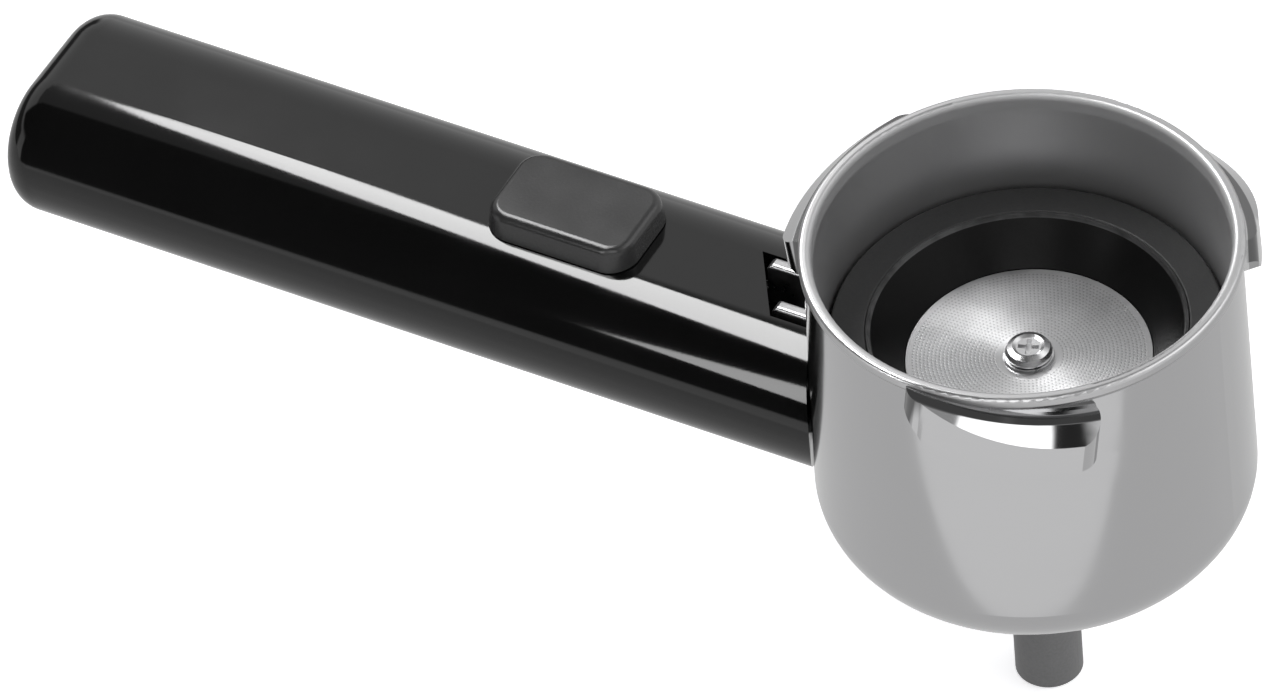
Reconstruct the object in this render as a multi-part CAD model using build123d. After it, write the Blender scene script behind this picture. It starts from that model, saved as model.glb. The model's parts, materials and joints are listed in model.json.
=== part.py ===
"""Portafilter with a thumb-operated puck ejector.

Frame: the origin is the centre of the cup's rim, +Z runs up along the cup's axis, and the
handle points towards -X.  All sizes are in millimetres.

Every sub-part has its own function, which returns its solid where it sits at rest.
"""
from build123d import *
from math import atan, cos, degrees, radians, sin, tan
import os

# ---- cup ------------------------------------------------------------------
RIM_R = 31.5            # outside of the rim bead
RIM_ROUND = 0.6         # rounding of the bead's outer edge
RIM_LOW_Z = -1.4        # underside of the bead
NECK_Z = -2.4
LIP_R = 30.5            # inner edge of the flat top of the rim
LIP_ROLL = 0.9          # the lip rolls down into the well by this
NECK_R = 30.9           # outside wall just under the bead
BELLY_R = 31.6          # outside wall where the rounded bottom starts
BELLY_Z = -43.0
BOWL_R = 28.0           # half width and depth of the rounded bottom's ellipse
BOWL_DEPTH = 14.8
BORE_TOP_R = LIP_R - LIP_ROLL   # well at the rim, and at the gasket's ledge
BORE_LOW_R = 28.3
LEDGE_Z = -21.2
CHAMBER_TOP_R = 26.3    # chamber under the ledge
CHAMBER_LOW_R = 25.6
CHAMBER_Z = -40.0
FLOOR_R = 12.5
FLOOR_Z = -54.3
CUP_BOTTOM_Z = BELLY_Z - BOWL_DEPTH

# ---- bayonet lugs -----------------------------------------------------------
LUG_ANGLES = (50, 170, 290)
LUG_R = 35.4            # furthest reach from the cup's axis
LUG_TOP_Z = -2.3
LUG_TOP_FALL = 0.4      # the top's fall from the rim to the bevel
LUG_BOTTOM_Z = -10.0
LUG_FLAT_R = 33.1       # the bevel starts here
LUG_BEVEL = 45.0        # degrees below level
LEAD_IN_Z = -6.0        # underside of the lead-in's tip
LEAD_IN_Y = (-13.4, -9.4)   # its underside slopes down from one to the other
LUG_TILT = 7.0          # degrees of bayonet pitch
LUG_ROOT_R = 30.2       # inner edge, inside the cup's wall
LUG_HALF = 25.5         # half its length, in degrees round the cup
# In plan a lug is a chain of arcs; each is given by a point it passes through and its end, as
# (radius, angle).
LUG_TIP = ((32.4, -23.5), (33.2, -19.0))
LUG_RAMP = ((34.7, -3.0), (LUG_R, 14.0))
LUG_CREST = ((LUG_R, 17.5), (LUG_R, 21.0))
LUG_BLUNT_END = ((34.3, 24.3), (LUG_ROOT_R, LUG_HALF))

# ---- well inserts -----------------------------------------------------------
GASKET_TOP_Z = -16.3
GASKET_IN_R = 22.9
GASKET_LOW_Z = -18.9
DISC_R = 17.5
DISC_TOP_Z = -22.5
DISC_T = 0.6
DISC_HOLE_R = 1.6       # clears the central screw
WASHER_T = 0.7
FUNNEL_LOW_Z = -24.0

# ---- ejector motion -----------------------------------------------------------
TRAVEL = 8.5            # thumb slide, towards the cup
LIFT_PER_MM = 0.8       # rise of the disc for each millimetre of slide
TINE_Y = 3.7            # half spacing of the fork's tines
TINE_T = 2.0
TINE_TOP_Z = -24.4
TINE_LOW_Z = -31.6
TINE_TIP_X = -11.5
TINE_STEP_X = {-1: -38.9, 1: -43.6}  # rear ends of the tines' tall front parts, by side
TINE_ROUND = 0.6
STEM_R = 2.4
STEM_LOW_Z = -50.0
HUB_TOP_Z = -33.5
HUB_LOW_Z = -37.5
CLIP_TOP_Z = -48.95
CLIP_T = 0.6
SLOT_X = (-33.0, -23.0)  # the tines' slots through the cup wall
SLOT_SIDE = 0.8         # room beside each tine
SLOT_END = 1.0          # room above and below it
LINER_R = (24.0, 30.6)  # ends of the slots' plastic liners
LINER_FLANGE_R = (24.8, 25.8)
PISTON_R = 16.9
PISTON_SEAT_R = 14.4    # the seal sits outside this
PISTON_STEP = 0.55
PISTON_T = 1.3
PISTON_WINDOWS = 8
WINDOW_R = 2.4
WINDOW_RING_R = 10.4
FOOT_L = 2.6
FOOT_SLOPE_L = 4.0
CAGE_LEG_ANGLES = (60, 180, 300)
CAGE_RING_R = 11.0
CAGE_LEG_W = 4.0
CAGE_LEG_T = 2.5
CAGE_WINDOW_R = 1.9
CAGE_WINDOW_RING_R = 7.6
HUB_R = 5.0
HUB_FLANGE_T = 1.5

# ---- spout ------------------------------------------------------------------
SPOUT_R = 4.93
SPOUT_BORE_R = 3.4
SPOUT_LOW_Z = -85.5
SPOUT_TOP_Z = -50.4
SPOUT_FLANGE_R = 8.0
CAGE_BASE_T = 1.2
SPOUT_SEAL_T = 1.0
NUT_T = 2.5
NUT_HALF_W = 7.0        # half the distance across its flats

# ---- handle -----------------------------------------------------------------
HANDLE_END_X = -161.5
HANDLE_W = 33.1
HANDLE_H = 22.6
HANDLE_CORNER_R = 11.0   # so its sides are almost fully round
HANDLE_Z = -36.55       # height of the section's centre
HANDLE_TOP_Z = HANDLE_Z + HANDLE_H / 2
HANDLE_LOW_Z = HANDLE_Z - HANDLE_H / 2
HANDLE_WALL = 2.6
HANDLE_FIT_R = 31.95    # the handle's hollow front end, round the cup
CAP_T = 5.6
CAP_ROUND = 5.0         # rounding of the rear end
CAP_WALL = 2.4
PLUG_L = 6.0            # the cap's plug, inside the shell
PLUG_T = 1.4
FRONT_WALL_X = -37.0
WEB_TOP_Z = -33.0
WEB_T = 1.6
BULKHEAD_X = -98.0
NOTCH_W = 11.2          # open notch over the tines, with a slanting rear edge
NOTCH_ROOM = 0.4        # from that edge to the tines' tall parts
TANG_END_X = -64.0
TANG_W = 14.0
TANG_ROUND = 1.0
TANG_TOP_Z = -36.6
TANG_LOW_Z = -45.0
HANDLE_SCREW_X = (-44.0, -56.0)
HANDLE_SCREW_HEAD_R = 3.6
HANDLE_SCREW_R = 1.6
HANDLE_SCREW_L = 9.0

# ---- thumb slide ------------------------------------------------------------
BUTTON_X = -73.0        # centre of the block
BUTTON_L = 24.0
BUTTON_W = 15.8
BUTTON_TOP_Z = -21.2
BUTTON_CORNER_R = 4.2
BUTTON_EDGE_R = 1.3
BUTTON_DRAFT = 0.6      # each side is narrower by this at the top
BUTTON_GAP = 0.25
BLADE_L = 10.0          # the button's blade, through the slot
BLADE_W = 7.4
BLADE_X = -77.3
PLATE_X = (-93.0, -62.0)
PLATE_W = 12.6
PLATE_TOP_Z = -28.0
PLATE_T = 1.25
CROSS_X = (-84.0, -64.1)
CROSS_T = 1.5
SLIDE_SCREW_X = (-80.0, -74.6)
SPRING_POST_X = -46.0
SPRING_Z = -30.6
SPRING_POST_R = 1.2
SPRING_POST_L = 5.5
SLIDE_PILOT_R = 1.25    # holes for the slide's screws
TANG_PILOT_R = 1.65     # holes for the handle's screws

# ---- springs and fits -----------------------------------------------------------
SLIDE_WIRE_R = 0.35
SLIDE_COIL_R = 1.85
SLIDE_COILS = 8
STEM_WIRE_R = 0.3
STEM_COIL_R = 3.3
STEM_COILS = 5.5
CLEAR = 0.05            # running and seating gap


def turned(points):
    """Solid of revolution about the cup's axis from (radius, z) corners."""
    outline = make_face(Polyline(*[(r, 0, z) for r, z in points], close=True))
    return revolve(outline, Axis.Z)


def tube(outer_r, inner_r, z_low, z_high):
    """Plain ring about the cup's axis."""
    return turned([(inner_r, z_low), (outer_r, z_low), (outer_r, z_high), (inner_r, z_high)])


def block(x_low, x_high, width, z_low, z_high, y=0.0):
    """Box given by its ends along X and Z, centred on y."""
    size = Box(x_high - x_low, width, z_high - z_low)
    return Pos((x_low + x_high) / 2, y, (z_low + z_high) / 2) * size


def handle_section(inset, x_low, x_high):
    """The handle's rounded section, drawn in by inset and run along X."""
    sketch = RectangleRounded(HANDLE_W - 2 * inset, HANDLE_H - 2 * inset, HANDLE_CORNER_R - inset)
    return extrude(Plane.YZ.offset(x_low) * Pos(0, HANDLE_Z) * sketch, x_high - x_low)


def side_plate(points, thickness, y):
    """Plate with an XZ outline, centred on y."""
    outline = make_face(Polyline(*[(x, y + thickness / 2, z) for x, z in points], close=True))
    return extrude(outline, thickness, dir=(0, -1, 0))


def polar(radius, angle):
    """Point in plan at an angle in degrees."""
    return (radius * cos(radians(angle)), radius * sin(radians(angle)))


def plan_arc(start, through, end):
    """Arc in plan through three (radius, angle) points."""
    return ThreePointArc(polar(*start), polar(*through), polar(*end))


def tine_slot(x_low, x_high, side_room, end_room, side):
    """Block round one tine, larger than it by the given room; side is -1 or 1."""
    return block(
        x_low, x_high, TINE_T + 2 * side_room, TINE_LOW_Z - end_room, TINE_TOP_Z + end_room,
        side * TINE_Y,
    )


def coil(radius, wire_r, pitch, height):
    """Round-wire spring that stands on the XY plane."""
    path = Helix(pitch, height, radius)
    return sweep(Plane(origin=path @ 0, z_dir=path % 0) * Circle(wire_r), path)


# ---- cup --------------------------------------------------------------------
def lug():
    """One bayonet lug, centred on +X: a shallow lead-in, a ramp, and a blunt end."""
    start = (LUG_ROOT_R, -LUG_HALF)
    tip = plan_arc(start, *LUG_TIP)
    ramp = plan_arc(LUG_TIP[1], *LUG_RAMP)
    crest = plan_arc(LUG_RAMP[1], *LUG_CREST)
    blunt_end = plan_arc(LUG_CREST[1], *LUG_BLUNT_END)
    inner = plan_arc(LUG_BLUNT_END[1], (LUG_ROOT_R, 0), start)
    plan = make_face(tip + ramp + crest + blunt_end + inner)
    body = extrude(Pos(0, 0, LUG_BOTTOM_Z) * plan, LUG_TOP_Z - LUG_BOTTOM_Z)
    bevel_top_z = LUG_TOP_Z - LUG_TOP_FALL
    reach = LUG_R + 1
    bevel_low_z = bevel_top_z - (reach - LUG_FLAT_R) * tan(radians(LUG_BEVEL))
    body &= turned([
        (0, LUG_BOTTOM_Z), (reach, LUG_BOTTOM_Z), (reach, bevel_low_z),
        (LUG_FLAT_R, bevel_top_z), (RIM_R, LUG_TOP_Z), (0, LUG_TOP_Z),
    ])
    below = LUG_BOTTOM_Z - 1
    under = make_face(Polyline(
        (0, -LUG_R, below), (0, -LUG_R, LEAD_IN_Z), (0, LEAD_IN_Y[0], LEAD_IN_Z),
        (0, LEAD_IN_Y[1], below), close=True,
    ))
    body -= extrude(under, reach, dir=(1, 0, 0))
    middle_z = (LUG_TOP_Z + LUG_BOTTOM_Z) / 2
    pitch = Pos(0, 0, middle_z) * Rot(X=-LUG_TILT) * Pos(0, 0, -middle_z)
    return pitch * body


def filter_cup():
    """Cast cup: rim bead, well, rounded bottom, three lugs and the handle's tang."""
    lip = CenterArc((LIP_R, -LIP_ROLL), LIP_ROLL, 90, 90)
    rim_top = Line((LIP_R, 0), (RIM_R - RIM_ROUND, 0))
    bead = CenterArc((RIM_R - RIM_ROUND, -RIM_ROUND), RIM_ROUND, 0, 90)
    outside = Polyline((RIM_R, -RIM_ROUND), (RIM_R, RIM_LOW_Z), (NECK_R, NECK_Z), (BELLY_R, BELLY_Z))
    bowl = EllipticalCenterArc(
        (BELLY_R - BOWL_R, BELLY_Z), BOWL_R, BOWL_DEPTH, start_angle=0, arc_size=-90,
    )
    hole_r = SPOUT_R + CLEAR
    floor = Polyline(
        (BELLY_R - BOWL_R, CUP_BOTTOM_Z), (0, CUP_BOTTOM_Z), (0, FLOOR_Z), (FLOOR_R, FLOOR_Z),
    )
    chamber = EllipticalCenterArc(
        (FLOOR_R, CHAMBER_Z), CHAMBER_LOW_R - FLOOR_R, CHAMBER_Z - FLOOR_Z,
        start_angle=-90, arc_size=90,
    )
    inside = Polyline(
        (CHAMBER_LOW_R, CHAMBER_Z), (CHAMBER_TOP_R, LEDGE_Z), (BORE_LOW_R, LEDGE_Z),
        (BORE_TOP_R, -LIP_ROLL),
    )
    profile = lip + rim_top + bead + outside + bowl + floor + chamber + inside
    outline = Plane.XZ * make_face(profile)
    cup = revolve(outline, Axis.Z)
    for angle in LUG_ANGLES:
        cup += Rot(Z=angle) * lug()
    cup += Pos(0, 0, CUP_BOTTOM_Z) * Cylinder(
        SPOUT_FLANGE_R + 0.6, 2, align=(Align.CENTER, Align.CENTER, Align.MIN),
    )
    tang = block(TANG_END_X, -BELLY_R + 3, TANG_W, TANG_LOW_Z, TANG_TOP_Z)
    cup += fillet(tang.edges().filter_by(Axis.X), TANG_ROUND)
    cup -= Pos(0, 0, CUP_BOTTOM_Z) * Cylinder(hole_r, 20)
    for x in HANDLE_SCREW_X:
        cup -= Pos(x, 0, TANG_LOW_Z) * Cylinder(TANG_PILOT_R, 14)
    for side in (-1, 1):
        cup -= tine_slot(SLOT_X[0], SLOT_X[1], SLOT_SIDE, SLOT_END, side)
    return cup


def tine_guides():
    """Two plastic liners in the cup wall's slots, each with a flange inside the cup."""
    wall = tube(LINER_R[1], LINER_R[0], CHAMBER_Z, LEDGE_Z)
    flange_zone = tube(LINER_FLANGE_R[1], LINER_FLANGE_R[0], CHAMBER_Z, LEDGE_Z)
    liners = []
    for side in (-1, 1):
        sleeve = tine_slot(SLOT_X[0], -LINER_FLANGE_R[0], SLOT_SIDE - CLEAR, SLOT_END - CLEAR, side) & wall
        flange = tine_slot(SLOT_X[0], -20, 1.5, 1.8, side) & flange_zone
        hole = tine_slot(-40, -20, 2 * CLEAR, 3 * CLEAR, side)
        liners.append(sleeve + flange - hole)
    return Compound(children=liners)


# ---- well -------------------------------------------------------------------
def well_gasket():
    """Flat rubber ring round the top of the funnel."""
    ring = tube(BORE_LOW_R - 0.35, GASKET_IN_R, GASKET_LOW_Z, GASKET_TOP_Z)
    top_edges = ring.edges().group_by(Axis.Z)[-1]
    return fillet(top_edges, 0.35)


def filter_funnel():
    """Moulded cone that carries the gasket and leads down to the disc."""
    return turned([
        (GASKET_IN_R - 0.6, GASKET_TOP_Z - 0.3), (DISC_R + 0.15, DISC_TOP_Z + 0.1),
        (DISC_R + 0.15, FUNNEL_LOW_Z), (DISC_R + 1.8, FUNNEL_LOW_Z), (DISC_R + 3.1, LEDGE_Z),
        (BORE_LOW_R - 0.3, LEDGE_Z), (BORE_LOW_R - 0.3, GASKET_LOW_Z),
        (GASKET_IN_R - CLEAR, GASKET_LOW_Z), (GASKET_IN_R - CLEAR, GASKET_TOP_Z),
        (GASKET_IN_R - 0.4, GASKET_TOP_Z + 0.1),
    ])


def filter_disc():
    """Fine steel disc at the bottom of the well."""
    return tube(DISC_R, DISC_HOLE_R, DISC_TOP_Z - DISC_T, DISC_TOP_Z)


def screw_washer():
    """Dished washer under the central screw."""
    return turned([
        (DISC_HOLE_R, DISC_TOP_Z), (3.7, DISC_TOP_Z), (3.55, DISC_TOP_Z + 0.45),
        (DISC_HOLE_R, DISC_TOP_Z + WASHER_T),
    ])


def disc_screw():
    """Cross-recess screw with a dished head, into the piston's stem."""
    seat_z = DISC_TOP_Z + WASHER_T
    head = turned([
        (0, seat_z), (3.3, seat_z), (3.4, seat_z + 0.5), (3.05, seat_z + 1.1),
        (2.3, seat_z + 1.45), (1.8, seat_z + 1.2), (0, seat_z + 1.1),
    ])
    shank = Pos(0, 0, seat_z) * Cylinder(1.5, 11, align=(Align.CENTER, Align.CENTER, Align.MAX))
    screw = head + shank
    for turn in (0, 90):
        arm = Pos(0, 0, seat_z + 1.2) * Rot(Z=turn + 20) * Box(3.0, 0.7, 1.6)
        screw -= arm
    return screw


# ---- ejector ------------------------------------------------------------------
def ejector_piston():
    """Windowed plate under the disc, with a guided stem and two sloped feet."""
    plate_top = DISC_TOP_Z - DISC_T
    plate_low = plate_top - PISTON_T
    seat_z = plate_top - PISTON_STEP
    piston = turned([
        (0, plate_low), (PISTON_R, plate_low), (PISTON_R, seat_z), (PISTON_SEAT_R, seat_z),
        (PISTON_SEAT_R, plate_top), (0, plate_top),
    ])
    for step in range(PISTON_WINDOWS):
        angle = 360 / PISTON_WINDOWS * (step + 0.5)
        window = Pos(*polar(WINDOW_RING_R, angle), plate_top) * Cylinder(WINDOW_R, 4)
        piston -= window
    foot_x = TINE_TIP_X + 0.25
    foot_z = TINE_LOW_Z + 0.1
    outline = [
        (foot_x, foot_z), (foot_x + FOOT_L, foot_z), (foot_x + FOOT_L, plate_low),
        (foot_x - FOOT_SLOPE_L, plate_low),
        (foot_x - FOOT_SLOPE_L, foot_z + FOOT_SLOPE_L * LIFT_PER_MM),
    ]
    for side in (-1, 1):
        piston += side_plate(outline, TINE_T + 0.4, side * TINE_Y)
    stem_l = plate_low - STEM_LOW_Z
    piston += Pos(0, 0, STEM_LOW_Z) * Cylinder(
        STEM_R, stem_l, align=(Align.CENTER, Align.CENTER, Align.MIN),
    )
    piston -= Pos(0, 0, plate_top) * Cylinder(1.55, 24)
    piston -= tube(STEM_R + 1, STEM_R - 0.5, CLIP_TOP_Z - CLIP_T - 0.05, CLIP_TOP_Z)
    return piston


def piston_seal():
    """Silicone ring between the disc and the piston's rim."""
    top = DISC_TOP_Z - DISC_T
    low = top - PISTON_STEP + CLEAR
    return tube(DISC_R + CLEAR, PISTON_SEAT_R + CLEAR, low, top)


def stem_clip():
    """Open retaining clip in the stem's groove."""
    clip = tube(4.2, STEM_R - 0.45, CLIP_TOP_Z - CLIP_T, CLIP_TOP_Z)
    return clip - Pos(3, 0, CLIP_TOP_Z) * Box(6, 2.4, 4)


def piston_spring():
    """Return spring between the cage's hub and the clip."""
    height = HUB_LOW_Z - CLIP_TOP_Z - 2 * (STEM_WIRE_R + CLEAR)
    base_z = CLIP_TOP_Z + STEM_WIRE_R + CLEAR
    return Pos(0, 0, base_z) * coil(STEM_COIL_R, STEM_WIRE_R, height / STEM_COILS, height)


def guide_cage():
    """Three-legged cage on the cup's floor whose hub guides the stem."""
    base_top = FLOOR_Z + CAGE_BASE_T
    cage = tube(FLOOR_R - 0.3, SPOUT_R + 0.3, FLOOR_Z, base_top)
    cage += tube(CAGE_RING_R, STEM_R + CLEAR, HUB_TOP_Z - HUB_FLANGE_T, HUB_TOP_Z)
    cage += tube(HUB_R, STEM_R + CLEAR, HUB_LOW_Z, HUB_TOP_Z)
    for angle in CAGE_LEG_ANGLES:
        cage += Rot(Z=angle) * block(
            CAGE_RING_R - CAGE_LEG_T, CAGE_RING_R, CAGE_LEG_W, FLOOR_Z, HUB_TOP_Z,
        )
        middle = Pos(*polar(CAGE_WINDOW_RING_R, angle + 60), HUB_TOP_Z)
        window = middle * Cylinder(CAGE_WINDOW_R, 8)
        cage -= window
    return cage


# ---- spout --------------------------------------------------------------------
def spout_tube():
    """Outlet tube with a shoulder under the cup."""
    shoulder = CUP_BOTTOM_Z - SPOUT_SEAL_T
    tip = SPOUT_LOW_Z + 0.6
    return turned([
        (SPOUT_BORE_R, SPOUT_LOW_Z), (SPOUT_R - 0.5, SPOUT_LOW_Z), (SPOUT_R, tip),
        (SPOUT_R, shoulder - 1.4), (SPOUT_FLANGE_R, shoulder - 1.2), (SPOUT_FLANGE_R, shoulder),
        (SPOUT_R, shoulder), (SPOUT_R, SPOUT_TOP_Z), (SPOUT_BORE_R, SPOUT_TOP_Z),
    ])


def spout_seal():
    """Flat washer between the cup and the spout's shoulder."""
    return tube(SPOUT_FLANGE_R - 0.3, SPOUT_R + CLEAR, CUP_BOTTOM_Z - SPOUT_SEAL_T, CUP_BOTTOM_Z)


def spout_nut():
    """Hexagon nut that pulls the spout and the cage onto the floor."""
    base = FLOOR_Z + CAGE_BASE_T
    nut = extrude(Pos(0, 0, base) * RegularPolygon(NUT_HALF_W, 6, major_radius=False), NUT_T)
    return nut - Pos(0, 0, base) * Cylinder(SPOUT_R + CLEAR, 20)


# ---- handle -------------------------------------------------------------------
def notch():
    """Opening in the handle's top over the tines."""
    slant = (TINE_STEP_X[1] - TINE_STEP_X[-1]) / (2 * TINE_Y)
    middle_x = (TINE_STEP_X[1] + TINE_STEP_X[-1]) / 2 - NOTCH_ROOM
    rear = [(middle_x + slant * y - abs(slant) * TINE_T / 2, y) for y in (-NOTCH_W / 2, NOTCH_W / 2)]
    plan = make_face(Polyline((-20, -NOTCH_W / 2), *rear, (-20, NOTCH_W / 2), close=True))
    return extrude(Pos(0, 0, WEB_TOP_Z) * plan, HANDLE_TOP_Z + 5 - WEB_TOP_Z)


def handle_shell():
    """One-piece moulded handle, open at the rear, with the slide's web and ribs inside."""
    cavity_end = HANDLE_END_X + CAP_T
    shell = handle_section(0, cavity_end, -20)
    shell -= Pos(0, 0, -40) * Cylinder(HANDLE_FIT_R, 80)
    room = handle_section(HANDLE_WALL, cavity_end, FRONT_WALL_X)
    shell -= room
    top_inside = HANDLE_TOP_Z - HANDLE_WALL
    web_low = WEB_TOP_Z - WEB_T
    inner = block(BULKHEAD_X, FRONT_WALL_X, HANDLE_W, web_low, WEB_TOP_Z)
    inner += block(BULKHEAD_X - WEB_T, BULKHEAD_X, HANDLE_W, HANDLE_LOW_Z, HANDLE_TOP_Z)
    inner += block(SPRING_POST_X, SPRING_POST_X + 2.5, 4.8, web_low, -28.4)
    for side in (-1, 1):
        rib_y = side * (PLATE_W / 2 + 0.95)
        inner += block(BULKHEAD_X, FRONT_WALL_X, 1.5, web_low, top_inside, rib_y)
        cheek_y = side * (TANG_W / 2 + 0.95)
        inner += block(TANG_END_X - 2, FRONT_WALL_X, 1.6, HANDLE_LOW_Z, web_low, cheek_y)
    shell += inner & room
    shell += Pos(SPRING_POST_X, 0, SPRING_Z) * Rot(Y=-90) * Cylinder(
        SPRING_POST_R, SPRING_POST_L, align=(Align.CENTER, Align.CENTER, Align.MIN),
    )
    shell -= notch()
    shell -= block(TANG_END_X, -20, TANG_W + 0.2, TANG_LOW_Z - 0.1, TANG_TOP_Z + 0.1)
    slot_rear = BLADE_X - BLADE_L / 2 - 0.2
    slot_front = BLADE_X + BLADE_L / 2 + TRAVEL + 0.2
    shell -= block(slot_rear, slot_front, BLADE_W + 0.2, top_inside - 0.1, HANDLE_TOP_Z + 1)
    for x in HANDLE_SCREW_X:
        shell -= Pos(x, 0, HANDLE_LOW_Z) * screw_form(0.1)
    return shell


def screw_form(grow=0.0):
    """Countersunk handle screw, or the hole for it, with its head's face on the XY plane."""
    head_r = HANDLE_SCREW_HEAD_R + grow
    shank_r = HANDLE_SCREW_R + grow
    outline = make_face(Polyline(
        (0, 0, 0), (head_r, 0, 0), (head_r, 0, 0.3), (shank_r, 0, 2.3),
        (shank_r, 0, HANDLE_SCREW_L), (0, 0, HANDLE_SCREW_L), close=True,
    ))
    return revolve(outline, Axis.Z)


def handle_screws():
    """Two screws from below into the tang."""
    screws = []
    for x in HANDLE_SCREW_X:
        screw = screw_form()
        for turn in (45, 135):
            screw -= Rot(Z=turn) * Box(3.6, 0.8, 2.6)
        screws.append(Pos(x, 0, HANDLE_LOW_Z + 0.1) * screw)
    return Compound(children=screws)


def end_cap():
    """Plug in the handle's rear end."""
    cap = handle_section(0, HANDLE_END_X, HANDLE_END_X + CAP_T)
    rear_edges = cap.edges().group_by(Axis.X)[0]
    cap = fillet(rear_edges, CAP_ROUND)
    plug_end = HANDLE_END_X + CAP_T + PLUG_L
    plug_inset = HANDLE_WALL + 2 * CLEAR
    cap += handle_section(plug_inset, HANDLE_END_X + CAP_T, plug_end)
    return cap - handle_section(plug_inset + PLUG_T, HANDLE_END_X + CAP_WALL, plug_end)


# ---- thumb slide ----------------------------------------------------------------
def thumb_button():
    """Rounded thumb block, hollowed under to the handle's curve, with a blade through its slot."""
    low = HANDLE_TOP_Z - BUTTON_GAP
    base = Pos(BUTTON_X, 0, low) * RectangleRounded(BUTTON_L, BUTTON_W, BUTTON_CORNER_R)
    height = BUTTON_TOP_Z - low
    body = extrude(base, height, taper=degrees(atan(BUTTON_DRAFT / height)))
    body = fillet(body.edges().group_by(Axis.Z)[-1], BUTTON_EDGE_R)
    body -= handle_section(-BUTTON_GAP, BUTTON_X - BUTTON_L, BUTTON_X + BUTTON_L)
    body += block(
        BLADE_X - BLADE_L / 2, BLADE_X + BLADE_L / 2, BLADE_W, PLATE_TOP_Z, BUTTON_TOP_Z - 2,
    )
    for x in SLIDE_SCREW_X:
        body -= Pos(x, 0, PLATE_TOP_Z) * Cylinder(SLIDE_PILOT_R, 8.6)
    return body


def slide_plate():
    """Runner under the handle's top that covers the slot and pushes the spring."""
    low = PLATE_TOP_Z - PLATE_T
    plate = block(PLATE_X[0], PLATE_X[1], PLATE_W, low, PLATE_TOP_Z)
    plate += block(PLATE_X[1] - 2, PLATE_X[1], 4.6, SPRING_Z - 1.9, low)
    for x in SLIDE_SCREW_X:
        plate -= Pos(x, 0, low) * Cylinder(SLIDE_PILOT_R, 8)
    return plate


def ejector_fork():
    """Steel fork: a cross plate and two tines with ramped tips."""
    cross_top = PLATE_TOP_Z - PLATE_T
    ramp_l = (TINE_TOP_Z - TINE_LOW_Z) / LIFT_PER_MM
    fork = block(CROSS_X[0], CROSS_X[1], 2 * TINE_Y + TINE_T, cross_top - CROSS_T, cross_top)
    for side in (-1, 1):
        step_x = TINE_STEP_X[side]
        outline = [
            (TINE_TIP_X, TINE_LOW_Z), (TINE_TIP_X - ramp_l, TINE_TOP_Z),
            (step_x + 0.8, TINE_TOP_Z), (step_x, TINE_TOP_Z - 0.8),
            (step_x, cross_top), (CROSS_X[0], cross_top), (CROSS_X[0], TINE_LOW_Z),
        ]
        tine = side_plate(outline, TINE_T, side * TINE_Y)
        fork += fillet(tine.edges().filter_by(Axis.X).group_by(Axis.Z)[-1], TINE_ROUND)
    for x in SLIDE_SCREW_X:
        fork -= Pos(x, 0, cross_top) * Cylinder(SLIDE_PILOT_R, 8)
    return fork


def slide_screws():
    """Two screws that clamp the fork and the plate to the button."""
    seat = PLATE_TOP_Z - PLATE_T - CROSS_T
    screws = []
    for x in SLIDE_SCREW_X:
        head = Cylinder(2.2, 1.4, align=(Align.CENTER, Align.CENTER, Align.MAX))
        shank = Cylinder(SLIDE_PILOT_R - CLEAR, 6.4, align=(Align.CENTER, Align.CENTER, Align.MIN))
        screw = head + shank
        for turn in (0, 90):
            screw -= Pos(0, 0, -1.4) * Rot(Z=turn) * Box(2.4, 0.6, 1.4)
        screws.append(Pos(x, 0, seat) * screw)
    return Compound(children=screws)


def slide_spring():
    """Return spring between the handle's post and the slide plate."""
    start = SPRING_POST_X - SLIDE_WIRE_R - CLEAR
    height = start - PLATE_X[1] - SLIDE_WIRE_R - CLEAR
    spring = coil(SLIDE_COIL_R, SLIDE_WIRE_R, height / SLIDE_COILS, height)
    return Pos(start, 0, SPRING_Z) * Rot(Y=-90) * spring


PARTS = [
    filter_cup, tine_guides, well_gasket, filter_funnel, filter_disc, screw_washer, disc_screw,
    ejector_piston, piston_seal, stem_clip, piston_spring, guide_cage, spout_tube, spout_seal,
    spout_nut, handle_shell, handle_screws, end_cap, thumb_button, slide_plate, ejector_fork,
    slide_screws, slide_spring,
]

os.makedirs("parts", exist_ok=True)
for make in PARTS:
    export_step(make(), f"parts/{make.__name__}.step")
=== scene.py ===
import json
import math

import bpy
from mathutils import Matrix, Vector


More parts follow.
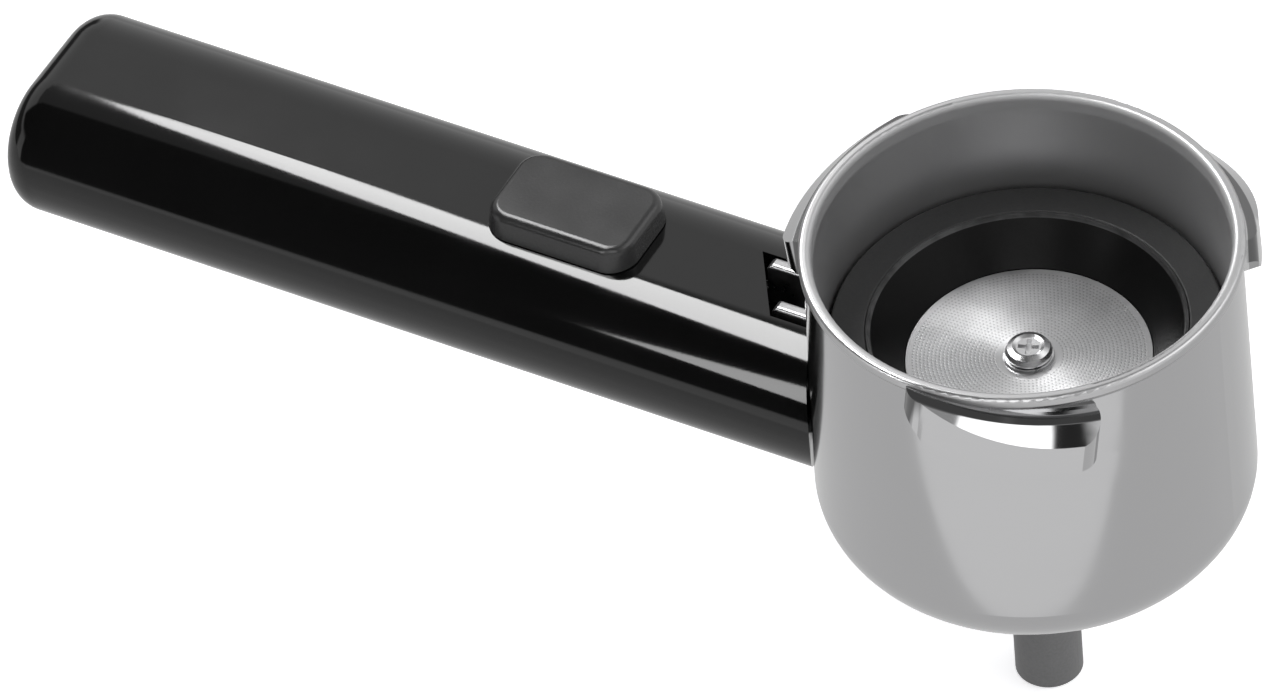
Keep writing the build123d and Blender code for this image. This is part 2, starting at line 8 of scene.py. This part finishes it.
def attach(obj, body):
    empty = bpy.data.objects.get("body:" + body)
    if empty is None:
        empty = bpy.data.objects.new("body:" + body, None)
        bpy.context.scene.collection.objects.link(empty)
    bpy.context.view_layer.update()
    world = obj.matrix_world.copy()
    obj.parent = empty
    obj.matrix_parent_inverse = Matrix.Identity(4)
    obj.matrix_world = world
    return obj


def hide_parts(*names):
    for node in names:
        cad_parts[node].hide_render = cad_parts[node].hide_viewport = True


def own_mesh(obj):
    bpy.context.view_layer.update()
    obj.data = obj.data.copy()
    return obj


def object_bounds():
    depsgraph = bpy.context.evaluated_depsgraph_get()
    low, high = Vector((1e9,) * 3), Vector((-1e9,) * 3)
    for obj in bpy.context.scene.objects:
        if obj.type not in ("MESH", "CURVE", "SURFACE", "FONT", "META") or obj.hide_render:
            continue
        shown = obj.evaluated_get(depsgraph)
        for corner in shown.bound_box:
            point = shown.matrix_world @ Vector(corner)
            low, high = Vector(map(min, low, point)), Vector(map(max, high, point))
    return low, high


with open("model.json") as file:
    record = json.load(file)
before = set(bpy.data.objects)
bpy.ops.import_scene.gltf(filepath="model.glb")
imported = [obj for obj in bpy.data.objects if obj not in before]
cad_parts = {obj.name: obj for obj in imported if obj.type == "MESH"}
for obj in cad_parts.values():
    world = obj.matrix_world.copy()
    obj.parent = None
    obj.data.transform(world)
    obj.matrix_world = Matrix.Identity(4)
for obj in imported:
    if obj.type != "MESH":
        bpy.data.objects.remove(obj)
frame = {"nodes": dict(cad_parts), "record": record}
cad_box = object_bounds()

# ---- camera, in metres and degrees ------------------------------------------------
CAMERA_AZIMUTH = 31.98
CAMERA_ELEVATION = 44.5
CAMERA_ROLL = 5.33
CAMERA_DISTANCE = 2.0
CAMERA_LENS_MM = 401.3
CAMERA_SENSOR_MM = 36.0
TARGET_RIGHT = -0.05476     # aim point from the rim's centre, along the view's right and up
TARGET_UP = -0.01009

# ---- studio -----------------------------------------------------------------------
FLOOR_HALF = 12.0
FLOOR_LEVEL = 0.93
FLOOR_GLOW = 0.58
FLOOR_ROUGH = 0.8
SKY_LEVEL = 0.95
LOW_LEVEL = 0.98            # below the horizon
HORIZON_FADE = 0.12         # sine of the elevation over which one becomes the other

# Light and dark areas of the dome, each over the ones before it: name, azimuth, half-width,
# lowest and highest elevation and soft edge in degrees, and brightness.
CARDS = [
    ("dim ceiling", 0.0, 180.0, 50.0, 95.0, 6.0, 0.30),
    ("dark room", -10.0, 75.0, 20.0, 95.0, 8.0, 0.03),
    ("dark doorway", -25.0, 17.0, -13.0, 40.0, 4.0, 0.03),
    ("dark room on the left", -105.0, 42.0, -34.0, 14.0, 8.0, 0.10),
    ("grey wall", -7.0, 13.0, 30.0, 60.0, 3.0, 0.45),
    ("front softbox", 28.0, 22.0, 30.0, 60.0, 3.0, 2.6),
    ("right softbox", 118.0, 34.0, 24.0, 62.0, 10.0, 2.0),
]

# Panels near the object that only reflections show: brightness, and corners in metres.
PANELS = {
    "long_light": (17.0, [
        (-0.27, 0.14, 0.20), (-0.25, 0.17, 0.20), (-0.11, 0.08, 0.20), (-0.11, -0.08, 0.20),
        (-0.25, 0.09, 0.20),
    ]),
    "small_light": (8.0, [(-0.13, -0.17, 0.03), (-0.09, -0.17, 0.15), (-0.09, -0.17, 0.01)]),
    # Painted shadow: a dimmer sheet on the table plane that reflections show in place of the
    # object's shadow on the table.
    "table_shadow_sheet": (0.70, [
        (-0.60, -0.30, -0.085), (0.40, 0.07, -0.085), (0.40, 0.60, -0.085), (-0.60, 0.60, -0.085),
    ]),
}


# ---- where finishes change, in metres ---------------------------------------------
RIM_R = 0.0315              # outside of the cup's rim
RIM_LOW_Z = -0.0028         # underside of the rim's bead
LUG_FLAT_R = 0.0331         # the lugs' flat tops end here
WELL_R = 0.0299             # the well's wall is inside this
WELL_LOW_Z = -0.032
LIP_R = (0.0222, 0.0229)    # the funnel's lip, inside the gasket
LIP_LOW_Z = -0.0167
HOLES_R = (0.0045, 0.0169)  # the disc's field of holes
HOLE_PITCH = 0.00055
EDGE = 0.0002               # softness of a sharp change of finish

# ---- finishes ---------------------------------------------------------------------
SATIN = (0.09, 0.13)        # least and most roughness of the polished cup
LUG_POLISH = -0.03          # changes to that roughness
WELL_DULLING = 0.40
RIM_DULLING = 0.20
CUP_GREY = 0.50
WELL_GREY = 0.42
# painted shade: the grey that darkens the lugs' flat tops under the rim's bead
LUG_TOP_SHADE = 0.13
DISC_HOLE_SHADE_AND_GREY = (0.38, 0.56)    # painted shade in a hole, and the steel's grey between holes
DISC_ROUGH = (0.30, 0.38)
DISC_BRUSHING = 0.64        # strength of its radial polish
HOLE_EDGE = (0.20, 0.30)    # share of the pitch over which a hole's edge runs


# ---- node helpers -----------------------------------------------------------------
def feed(tree, socket, value):
    """Links a socket to value if that is an output, or sets it."""
    if isinstance(value, bpy.types.NodeSocket):
        tree.links.new(value, socket)
    else:
        socket.default_value = value


def calc(tree, operation, *values):
    """Math node; returns its output."""
    node = tree.nodes.new("ShaderNodeMath")
    node.operation = operation
    for socket, value in zip(node.inputs, values):
        feed(tree, socket, value)
    return node.outputs[0]


def vector(tree, operation, *values):
    """Vector math node; returns the node."""
    node = tree.nodes.new("ShaderNodeVectorMath")
    node.operation = operation
    for socket, value in zip(node.inputs, values):
        feed(tree, socket, value)
    return node


def ramp(tree, value, low, high, to_low=0.0, to_high=1.0):
    """Smooth change from to_low, at low, to to_high, at high."""
    node = tree.nodes.new("ShaderNodeMapRange")
    node.interpolation_type = "SMOOTHSTEP"
    for socket, number in zip(node.inputs, (value, low, high, to_low, to_high)):
        feed(tree, socket, number)
    return node.outputs[0]


def product(tree, first, *others):
    """All the values multiplied together."""
    for other in others:
        first = calc(tree, "MULTIPLY", first, other)
    return first


def above(tree, value, low, fade):
    """0 up to low, and 1 from low + fade."""
    return ramp(tree, value, low, low + fade)


def below(tree, value, high, fade):
    """1 up to high, and 0 from high + fade."""
    return ramp(tree, value, high + fade, high)


def edge(tree, value, at, soft):
    """1 beyond an angle and 0 before it, or the reverse if soft is negative; in degrees."""
    half = soft / 2
    return ramp(tree, value, math.radians(at - half), math.radians(at + half))


def mix(tree, factor, low, high):
    """Mix of two colours."""
    node = tree.nodes.new("ShaderNodeMix")
    node.data_type = "RGBA"
    feed(tree, node.inputs["Factor"], factor)
    feed(tree, node.inputs[6], low)
    feed(tree, node.inputs[7], high)
    return node.outputs[2]


def noise(tree, coords, scale, detail=2.0):
    """Noise whose features are about 1 / scale metres across."""
    node = tree.nodes.new("ShaderNodeTexNoise")
    feed(tree, node.inputs["Vector"], coords)
    node.inputs["Scale"].default_value = scale
    node.inputs["Detail"].default_value = detail
    return node.outputs["Fac"]


def stretched(tree, coords, scale):
    """Coordinates scaled by a different amount along each axis."""
    return vector(tree, "MULTIPLY", coords, scale).outputs[0]


def bump(tree, height, strength, depth):
    """Bump node; depth in metres."""
    node = tree.nodes.new("ShaderNodeBump")
    node.inputs["Strength"].default_value = strength
    node.inputs["Distance"].default_value = depth
    feed(tree, node.inputs["Height"], height)
    return node.outputs[0]


def place(tree):
    """Coordinates in the shared frame, in metres."""
    return tree.nodes.new("ShaderNodeTexCoord").outputs["Object"]


def hypotenuse(tree, a, b):
    """Length of the diagonal of an a by b rectangle."""
    squares = calc(tree, "ADD", product(tree, a, a), product(tree, b, b))
    return calc(tree, "SQRT", squares)


def polar(tree, coords):
    """(distance from the cup's axis, angle about it, height)."""
    parts = tree.nodes.new("ShaderNodeSeparateXYZ")
    feed(tree, parts.inputs[0], coords)
    x, y, z = parts.outputs
    return hypotenuse(tree, x, y), calc(tree, "ARCTAN2", y, x), z


def grey(level):
    """Very slightly cool grey."""
    return (level, level, level * 1.01, 1.0)


def new_material(name, level, metallic, specular=0.5):
    """Principled material; returns (material, node tree, shader)."""
    material = bpy.data.materials.new(name)
    material.use_nodes = True
    tree = material.node_tree
    shader = tree.nodes["Principled BSDF"]
    shader.inputs["Base Color"].default_value = grey(level)
    shader.inputs["Metallic"].default_value = metallic
    shader.inputs["Specular IOR Level"].default_value = specular
    return material, tree, shader


# ---- materials --------------------------------------------------------------------
def moulded(name, level, rough, grain, grain_size, specular=0.5, handling=0.05):
    """Moulded plastic or rubber: fine grain, and roughness that varies with handling."""
    material, tree, shader = new_material(name, level, 0.0, specular)
    coords = place(tree)
    patches = noise(tree, coords, 90.0, 4.0)
    fine = noise(tree, coords, 1.0 / grain_size, 3.0)
    wear = ramp(tree, patches, 0.35, 0.7, rough - handling, rough + handling)
    feed(tree, shader.inputs["Roughness"], wear)
    shade = ramp(tree, calc(tree, "ADD", patches, fine), 0.6, 1.4)
    colour = mix(tree, shade, grey(level * 0.88), grey(level * 1.12))
    feed(tree, shader.inputs["Base Color"], colour)
    feed(tree, shader.inputs["Normal"], bump(tree, fine, grain, grain_size * 0.2))
    return material


def paint_lip_highlight(material, level):
    """Painted highlight: a paler, patchy ring where the funnel's lip stands proud of the gasket."""
    tree = material.node_tree
    base = tree.nodes["Principled BSDF"].inputs["Base Color"]
    moulded_colour = base.links[0].from_socket
    coords = place(tree)
    radius, _, height = polar(tree, coords)
    inner, outer = LIP_R
    lip = product(
        tree, above(tree, radius, inner - EDGE / 2, EDGE / 2), below(tree, radius, outer, EDGE / 2),
        above(tree, height, LIP_LOW_Z - EDGE / 2, EDGE / 2),
    )
    highlight_patches = ramp(tree, noise(tree, coords, 220.0), 0.3, 0.6, 0.5, 1.0)
    # Painted highlight along the lip, broken into patches by noise.
    feed(tree, base, mix(tree, product(tree, lip, highlight_patches), moulded_colour, grey(level)))


def drawn_steel(name, level, rough):
    """Stainless steel with fine level marks from drawing, and faint stains."""
    material, tree, shader = new_material(name, level, 1.0)
    coords = place(tree)
    rings = noise(tree, stretched(tree, coords, (300.0, 300.0, 9000.0)), 1.0, 3.0)
    stains = noise(tree, coords, 400.0, 3.0)
    varied = ramp(tree, stains, 0.3, 0.7, rough - 0.04, rough + 0.06)
    feed(tree, shader.inputs["Roughness"], varied)
    feed(tree, shader.inputs["Base Color"], mix(tree, stains, grey(level * 0.92), grey(level)))
    feed(tree, shader.inputs["Normal"], bump(tree, rings, 0.12, 0.00002))
    return material


def cup_chrome():
    """Bright chrome outside, painted shade darkening the lugs' flat tops under the rim's bead, and
    a finely turned, duller well.
    """
    material, tree, shader = new_material("cup_chrome", CUP_GREY, 1.0)
    coords = place(tree)
    radius, _, height = polar(tree, coords)
    well = product(
        tree, below(tree, radius, WELL_R, 2 * EDGE), above(tree, height, WELL_LOW_Z, 10 * EDGE),
    )
    lug = above(tree, radius, RIM_R + EDGE, 2 * EDGE)
    # Where the painted shade goes: the lugs' flat tops, between the rim and the bevel.
    shaded_lug_top = product(
        tree, above(tree, radius, RIM_R + EDGE / 2, EDGE),
        below(tree, radius, LUG_FLAT_R - EDGE / 2, EDGE),
    )
    rim = product(
        tree, above(tree, height, RIM_LOW_Z, 4 * EDGE),
        below(tree, radius, RIM_R + EDGE / 2, EDGE),
    )
    smears = noise(tree, stretched(tree, coords, (40.0, 40.0, 90.0)), 1.0, 4.0)
    rough = ramp(tree, smears, 0.3, 0.7, *SATIN)
    for mask, change in ((lug, LUG_POLISH), (well, WELL_DULLING), (rim, RIM_DULLING)):
        rough = calc(tree, "ADD", rough, product(tree, mask, change))
    feed(tree, shader.inputs["Roughness"], rough)
    # Painted shade: the lugs' flat tops get a much darker grey than the chrome.
    outside = mix(tree, shaded_lug_top, grey(CUP_GREY), grey(LUG_TOP_SHADE))
    colour = mix(tree, well, outside, grey(WELL_GREY))
    smeared = mix(tree, product(tree, smears, 0.12), colour, grey(WELL_GREY))
    feed(tree, shader.inputs["Base Color"], smeared)
    turned = noise(tree, stretched(tree, coords, (150.0, 150.0, 9000.0)), 1.0, 2.0)
    feed(tree, shader.inputs["Normal"], bump(tree, product(tree, turned, well), 0.25, 0.00002))
    return material


def perforated_disc():
    """Fine rings of punched holes, darkened with painted shade, in radially polished steel."""
    material, tree, shader = new_material("perforated_disc", DISC_HOLE_SHADE_AND_GREY[1], 1.0)
    shader.inputs["Anisotropic"].default_value = DISC_BRUSHING
    coords = place(tree)
    radius, angle, _ = polar(tree, coords)
    rows = calc(tree, "DIVIDE", radius, HOLE_PITCH)
    row = calc(tree, "ROUND", rows)
    # Row n holds 6 n holes, so that they stay a pitch apart.  1000 keeps the count positive.
    along = product(tree, calc(tree, "DIVIDE", angle, 2 * math.pi), row, 6.0)
    across = calc(tree, "SUBTRACT", rows, row)
    step = calc(tree, "FRACT", calc(tree, "ADD", along, 1000.0))
    away = hypotenuse(tree, across, calc(tree, "SUBTRACT", step, 0.5))
    field = product(
        tree, above(tree, radius, HOLES_R[0], 1.5 * EDGE),
        below(tree, radius, HOLES_R[1] - 1.5 * EDGE, 1.5 * EDGE),
    )
    plain = calc(tree, "SUBTRACT", 1.0, field)
    solid = calc(tree, "MAXIMUM", ramp(tree, away, *HOLE_EDGE), plain)
    # Painted shade: the holes are given a darker grey than the steel between them.
    colour = mix(tree, solid, grey(DISC_HOLE_SHADE_AND_GREY[0]), grey(DISC_HOLE_SHADE_AND_GREY[1]))
    feed(tree, shader.inputs["Base Color"], colour)
    stains = noise(tree, coords, 260.0, 3.0)
    feed(tree, shader.inputs["Roughness"], ramp(tree, stains, 0.3, 0.7, *DISC_ROUGH))
    feed(tree, shader.inputs["Normal"], bump(tree, solid, 0.25, 0.00004))
    tangent = tree.nodes.new("ShaderNodeTangent")
    tangent.direction_type = "RADIAL"
    tangent.axis = "Z"
    feed(tree, shader.inputs["Tangent"], tangent.outputs[0])
    return material


# Plastics and rubbers: name, grey, roughness, grain's strength and size in metres, specular
# level, and how much handling varies the roughness.  Steels: name, grey, roughness.
SLOT_MATERIALS = {
    "cast_chrome": cup_chrome(),
    "disc_steel": perforated_disc(),
    "bright_steel": drawn_steel("bright_steel", 0.36, 0.30),
    "spring_steel": drawn_steel("spring_steel", 0.55, 0.30),
    "screw_steel": drawn_steel("screw_steel", 0.60, 0.26),
    "nut_steel": drawn_steel("nut_steel", 0.60, 0.28),
    "black_rubber": moulded("black_rubber", 0.026, 0.62, 0.30, 0.00035, 0.4),
    "silicone": moulded("silicone", 0.30, 0.45, 0.15, 0.0004, 0.4),
    "moulded_black": moulded("moulded_black", 0.004, 0.38, 0.25, 0.0003, 0.12),
    "handle_gloss": moulded("handle_gloss", 0.004, 0.085, 0.02, 0.0005, 0.46, 0.015),
    "button_plastic": moulded("button_plastic", 0.030, 0.24, 0.15, 0.0004, 0.40, 0.03),
    "spout_plastic": moulded("spout_plastic", 0.10, 0.46, 0.22, 0.0004, 0.4),
}

# Painted highlight on the funnel's lip.
paint_lip_highlight(SLOT_MATERIALS["moulded_black"], 0.09)

for part in frame["record"]["subparts"]:
    piece = frame["nodes"][part["node"]]
    finish = SLOT_MATERIALS[part["material_slot"]]
    if piece.material_slots:
        for holder in piece.material_slots:
            holder.material = finish
    else:
        piece.data.materials.append(finish)


# ---- springs ----------------------------------------------------------------------
def working_spring(joint, entry):
    """Copy of a CAD spring's coil, carried by the moving part's body in place of the hidden CAD
    spring.
    """
    node = entry["node"]
    cad = frame["nodes"][node]
    spring = bpy.data.objects.new(node + "_coil", cad.data.copy())
    bpy.context.collection.objects.link(spring)
    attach(spring, joint["child"])
    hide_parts(node)
    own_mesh(spring)


for joint in frame["record"]["behaviour"]["joints"]:
    for entry in joint.get("deforming_nodes", []):
        working_spring(joint, entry)


# ---- floor, light and camera ------------------------------------------------------
def heading(azimuth, elevation):
    """Unit vector; azimuth 0 is towards -Y and 90 towards +X."""
    a = math.radians(azimuth)
    e = math.radians(elevation)
    return Vector((math.sin(a) * math.cos(e), -math.cos(a) * math.cos(e), math.sin(e)))


def add_floor():
    """Plain pale floor under the lowest point of the object."""
    signs = ((-1, -1), (1, -1), (1, 1), (-1, 1))
    corners = [(x * FLOOR_HALF, y * FLOOR_HALF, 0.0) for x, y in signs]
    mesh = bpy.data.meshes.new("floor")
    mesh.from_pydata(corners, [], [(0, 1, 2, 3)])
    floor = bpy.data.objects.new("floor", mesh)
    floor.location.z = cad_box[0].z
    bpy.context.collection.objects.link(floor)
    material, _, shader = new_material("floor", FLOOR_LEVEL, 0.0, 0.2)
    shader.inputs["Roughness"].default_value = FLOOR_ROUGH
    shader.inputs["Emission Color"].default_value = grey(1.0)
    shader.inputs["Emission Strength"].default_value = FLOOR_GLOW
    mesh.materials.append(material)
    floor.visible_glossy = False


def add_panel(name, corners, brightness):
    """Flat light that only reflections show."""
    mesh = bpy.data.meshes.new(name)
    mesh.from_pydata(corners, [], [tuple(range(len(corners)))])
    card = bpy.data.objects.new(name, mesh)
    bpy.context.collection.objects.link(card)
    material = bpy.data.materials.new(name)
    material.use_nodes = True
    tree = material.node_tree
    tree.nodes.remove(tree.nodes["Principled BSDF"])
    glow = tree.nodes.new("ShaderNodeEmission")
    glow.inputs["Strength"].default_value = brightness
    tree.links.new(glow.outputs[0], tree.nodes["Material Output"].inputs["Surface"])
    mesh.materials.append(material)
    card.visible_camera = False
    card.visible_diffuse = False
    card.visible_shadow = False


def add_world():
    """Soft studio: an even dome with the light and dark areas of CARDS on it."""
    world = bpy.data.worlds.new("studio")
    bpy.context.scene.world = world
    world.use_nodes = True
    tree = world.node_tree
    around = tree.nodes.new("ShaderNodeTexCoord").outputs["Generated"]
    parts = tree.nodes.new("ShaderNodeSeparateXYZ")
    feed(tree, parts.inputs[0], around)
    rise = parts.outputs[2]
    lift = calc(tree, "ARCSINE", rise)
    level = ramp(tree, rise, -HORIZON_FADE, HORIZON_FADE, LOW_LEVEL, SKY_LEVEL)
    for _, azimuth, half_width, low, high, soft, brightness in CARDS:
        ahead, aside = (
            vector(tree, "DOT_PRODUCT", around, tuple(heading(turned, 0.0))).outputs["Value"]
            for turned in (azimuth, azimuth + 90.0)
        )
        turn = calc(tree, "ABSOLUTE", calc(tree, "ARCTAN2", aside, ahead))
        card = product(
            tree, edge(tree, turn, half_width, -soft), edge(tree, lift, low, soft),
            edge(tree, lift, high, -soft),
        )
        rest = product(tree, level, calc(tree, "SUBTRACT", 1.0, card))
        level = calc(tree, "ADD", rest, product(tree, card, brightness))
    feed(tree, tree.nodes["Background"].inputs["Color"], level)


def add_camera():
    """Long lens at the photograph's viewing angle, with its slight roll."""
    data = bpy.data.cameras.new("camera")
    data.lens = CAMERA_LENS_MM
    data.sensor_width = CAMERA_SENSOR_MM
    data.clip_start = 0.1
    data.clip_end = 20.0
    camera = bpy.data.objects.new("camera", data)
    bpy.context.collection.objects.link(camera)
    back = heading(CAMERA_AZIMUTH, CAMERA_ELEVATION)
    a = math.radians(CAMERA_AZIMUTH)
    right = Vector((math.cos(a), math.sin(a), 0.0))
    up = back.cross(right)
    r = math.radians(CAMERA_ROLL)
    x_axis = right * math.cos(r) - up * math.sin(r)
    y_axis = right * math.sin(r) + up * math.cos(r)
    turn = Matrix((x_axis, y_axis, back)).transposed()
    camera.matrix_world = Matrix.Translation(
        right * TARGET_RIGHT + up * TARGET_UP + back * CAMERA_DISTANCE
    ) @ turn.to_4x4()
    bpy.context.scene.camera = camera


add_floor()
for name, (brightness, corners) in PANELS.items():
    add_panel(name, corners, brightness)
add_world()
add_camera()
bpy.context.scene.view_settings.view_transform = "Standard"
